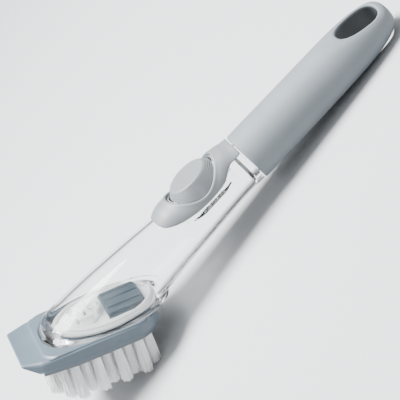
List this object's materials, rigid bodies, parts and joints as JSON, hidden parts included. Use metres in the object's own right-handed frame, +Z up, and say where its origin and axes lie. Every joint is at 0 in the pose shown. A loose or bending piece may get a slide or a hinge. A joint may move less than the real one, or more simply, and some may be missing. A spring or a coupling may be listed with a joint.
{
  "type": "dish wand",
  "caption": "Soap dispensing dish wand: screw-on handle with a hang slot, clear soap tube, thumb pump, release tab and refill brush head with a scraper edge.",
  "frame": {"origin": "centre of the bounding box on the table that the wand lies on", "axes": "+X from the brush head to the handle, +Z up on the button side, +Y to the left seen from the handle"},
  "size_m": [0.2786, 0.0572, 0.0662],
  "materials": {
    "clear_plastic": "clear gloss",
    "grey_plastic": "satin",
    "soft_grip": "matt soft touch",
    "seal_rubber": "matt",
    "cover_plastic": "satin",
    "button_plastic": "satin",
    "silicone": "translucent matt",
    "white_plastic": "satin",
    "housing_plastic": "satin",
    "tab_plastic": "satin",
    "pin_steel": "drawn",
    "head_plastic": "satin",
    "block_plastic": "satin",
    "anchor_wire": "flat wire",
    "nylon": "nylon filament"
  },
  "bodies": {
    "wand": {"reservoir": "clear_plastic", "button_cover": "cover_plastic", "pump_bellows": "silicone", "pump_ring": "white_plastic", "foot_plate": "white_plastic", "foot_gasket": "silicone", "latch_housing": "housing_plastic", "valve_cup": "white_plastic", "outlet_valve": "silicone", "valve_clip": "white_plastic", "spigot_seal": "seal_rubber", "latch_pin": "pin_steel"},
    "seal_ring": {"handle_seal": "seal_rubber"},
    "handle": {"handle_core": "grey_plastic", "handle_grip": "soft_grip"},
    "button": {"button": "button_plastic"},
    "latch": {"release_tab": "tab_plastic"},
    "head": {"brush_body": "head_plastic", "tuft_block": "block_plastic", "tuft_anchors": "anchor_wire", "bristles": "nylon"}
  },
  "joints": [
    {"name": "handle_lift", "type": "slide", "parent": "wand", "child": "seal_ring", "axis": [0.9927, 0, -0.1203], "range_m": [0, 0.006]},
    {"name": "handle_turn", "type": "hinge", "parent": "seal_ring", "child": "handle", "pos_m": [0.03504, 0, 0.02324], "axis": [0.9927, 0, -0.1203], "range_deg": [0, 540]},
    {"name": "button_press", "type": "slide", "parent": "wand", "child": "button", "axis": [-0.1203, 0, -0.9927], "range_m": [0, 0.004], "stiffness_N_per_m": 600, "springref_m": -0.001, "deforming": ["pump_bellows"]},
    {"name": "head_release", "type": "slide", "parent": "wand", "child": "head", "axis": [-0.5637, 0, -0.826], "range_m": [0, 0.03]},
    {"name": "tab_flick", "type": "hinge", "parent": "wand", "child": "latch", "pos_m": [-0.06561, 0, 0.01798], "axis": [0, -1, 0], "range_deg": [0, 18], "stiffness_Nm_per_rad": 0.05, "springref_deg": -5.73}
  ],
  "couplings": [
    {"joint": "handle_lift", "follows": "handle_turn", "m_per_rad": 0.00063662}
  ]
}
